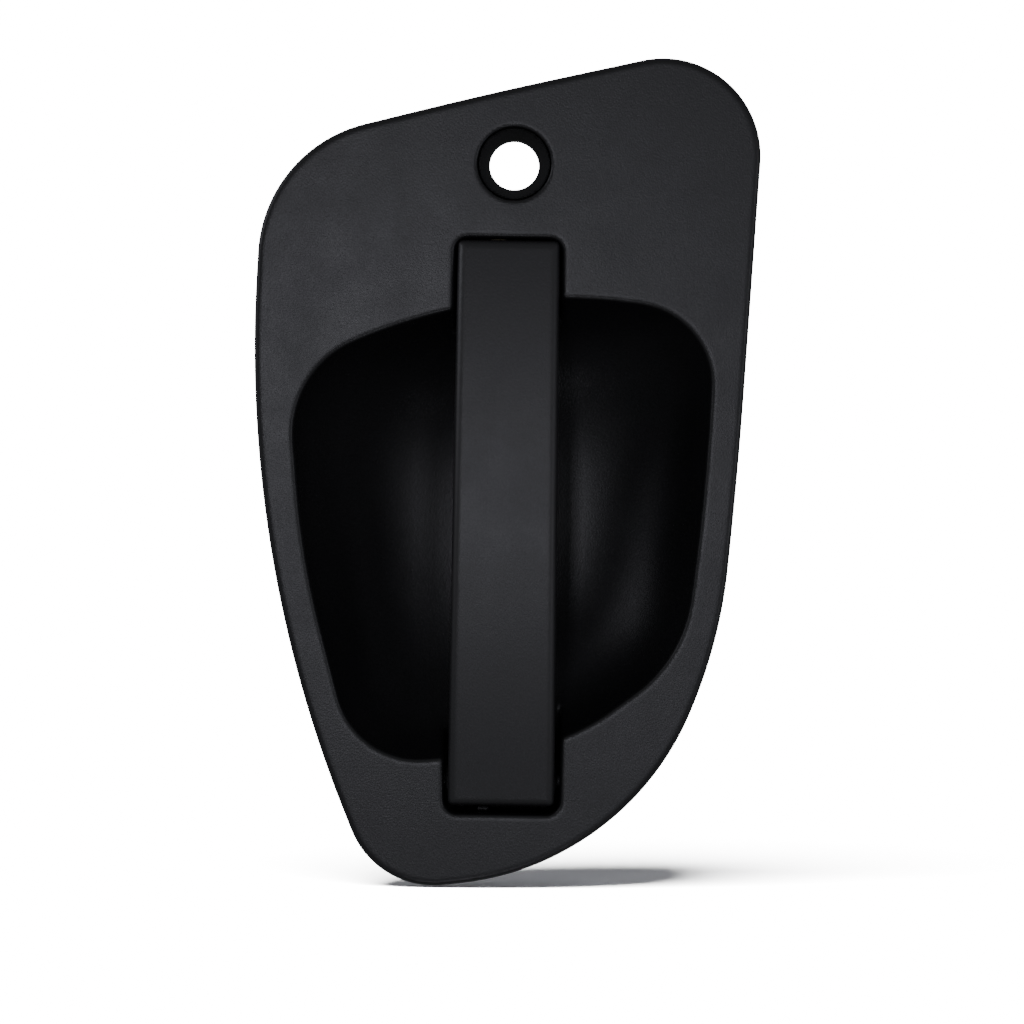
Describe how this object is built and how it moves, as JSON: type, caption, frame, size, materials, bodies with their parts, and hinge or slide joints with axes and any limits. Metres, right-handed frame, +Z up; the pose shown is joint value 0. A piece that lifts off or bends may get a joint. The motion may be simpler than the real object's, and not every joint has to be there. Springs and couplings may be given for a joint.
{
  "type": "flush pull door handle",
  "caption": "Recessed black door handle: a bowed vertical grip hinged at its lower end in a bowl-shaped housing, pulling a sprung bell crank for the latch rod.",
  "frame": {"origin": "on the gasket's door-side face, at its lowest stretch, on the grip's centre line; that face is the door skin's outer plane", "axes": "+X to the right seen from outside the vehicle, +Y into the door, +Z up along the grip"},
  "size_m": [0.1468, 0.0724, 0.242],
  "materials": {
    "moulded_black": "satin black moulding with a fine grain",
    "grip_black": "satin black moulding with a fine grain",
    "core_black": "glass-filled black nylon",
    "zinc_steel": "bright zinc plate",
    "yellow_zinc_steel": "yellow passivated zinc plate",
    "spring_steel": "oil-blackened spring steel",
    "white_acetal": "natural acetal",
    "bumper_rubber": "soft black rubber",
    "gasket_foam": "closed-cell foam"
  },
  "bodies": {
    "housing_body": {"flange_plate": "moulded_black", "hand_bowl": "moulded_black", "lock_collar": "moulded_black", "bracket_screw_left": "zinc_steel", "bracket_screw_right": "zinc_steel", "crank_pivot_pin": "zinc_steel", "fixing_stud_upper_left": "zinc_steel", "stud_washer_upper_left": "zinc_steel", "stud_nut_upper_left": "zinc_steel", "fixing_stud_upper_right": "zinc_steel", "stud_washer_upper_right": "zinc_steel", "stud_nut_upper_right": "zinc_steel", "fixing_stud_lower_left": "zinc_steel", "stud_washer_lower_left": "zinc_steel", "stud_nut_lower_left": "zinc_steel", "fixing_stud_lower_right": "zinc_steel", "stud_washer_lower_right": "zinc_steel", "stud_nut_lower_right": "zinc_steel", "crank_bracket": "yellow_zinc_steel", "hinge_pin": "spring_steel", "hinge_pin_clip": "spring_steel", "grip_return_spring": "spring_steel", "crank_pivot_clip": "spring_steel", "crank_return_spring": "spring_steel", "hinge_bush_left": "white_acetal", "hinge_bush_right": "white_acetal", "grip_bumper_left": "bumper_rubber", "grip_bumper_right": "bumper_rubber", "flange_gasket": "gasket_foam"},
    "grip_body": {"grip_cover": "grip_black", "grip_core": "core_black", "grip_screw_upper": "zinc_steel", "grip_screw_lower": "zinc_steel", "pull_arm": "yellow_zinc_steel", "pull_arm_cross_pin": "spring_steel"},
    "crank_body": {"bell_crank": "yellow_zinc_steel", "crank_drive_pin": "zinc_steel", "crank_drive_sleeve": "white_acetal"},
    "rod_clip_body": {"rod_clip": "white_acetal"}
  },
  "joints": [
    {"name": "grip_hinge", "type": "hinge", "parent": "housing_body", "child": "grip_body", "pos_m": [0, 0.004, 0.0227], "axis": [1, 0, 0], "range_deg": [0, 8], "stiffness_Nm_per_rad": 1.6, "springref_deg": -28.65, "deforming": ["grip_return_spring"]},
    {"name": "crank_hinge", "type": "hinge", "parent": "housing_body", "child": "crank_body", "pos_m": [0, 0.034, 0.1487], "axis": [1, 0, 0], "range_deg": [0, 47], "stiffness_Nm_per_rad": 0.05, "springref_deg": -45.84, "deforming": ["crank_return_spring"]},
    {"name": "rod_clip_swivel", "type": "hinge", "parent": "crank_body", "child": "rod_clip_body", "pos_m": [0, 0.05237, 0.14079], "axis": [1, 0, 0], "range_deg": [-60, 60]}
  ],
  "couplings": [
    {"joint": "crank_hinge", "follows": "grip_hinge", "ratio": 5.825}
  ]
}
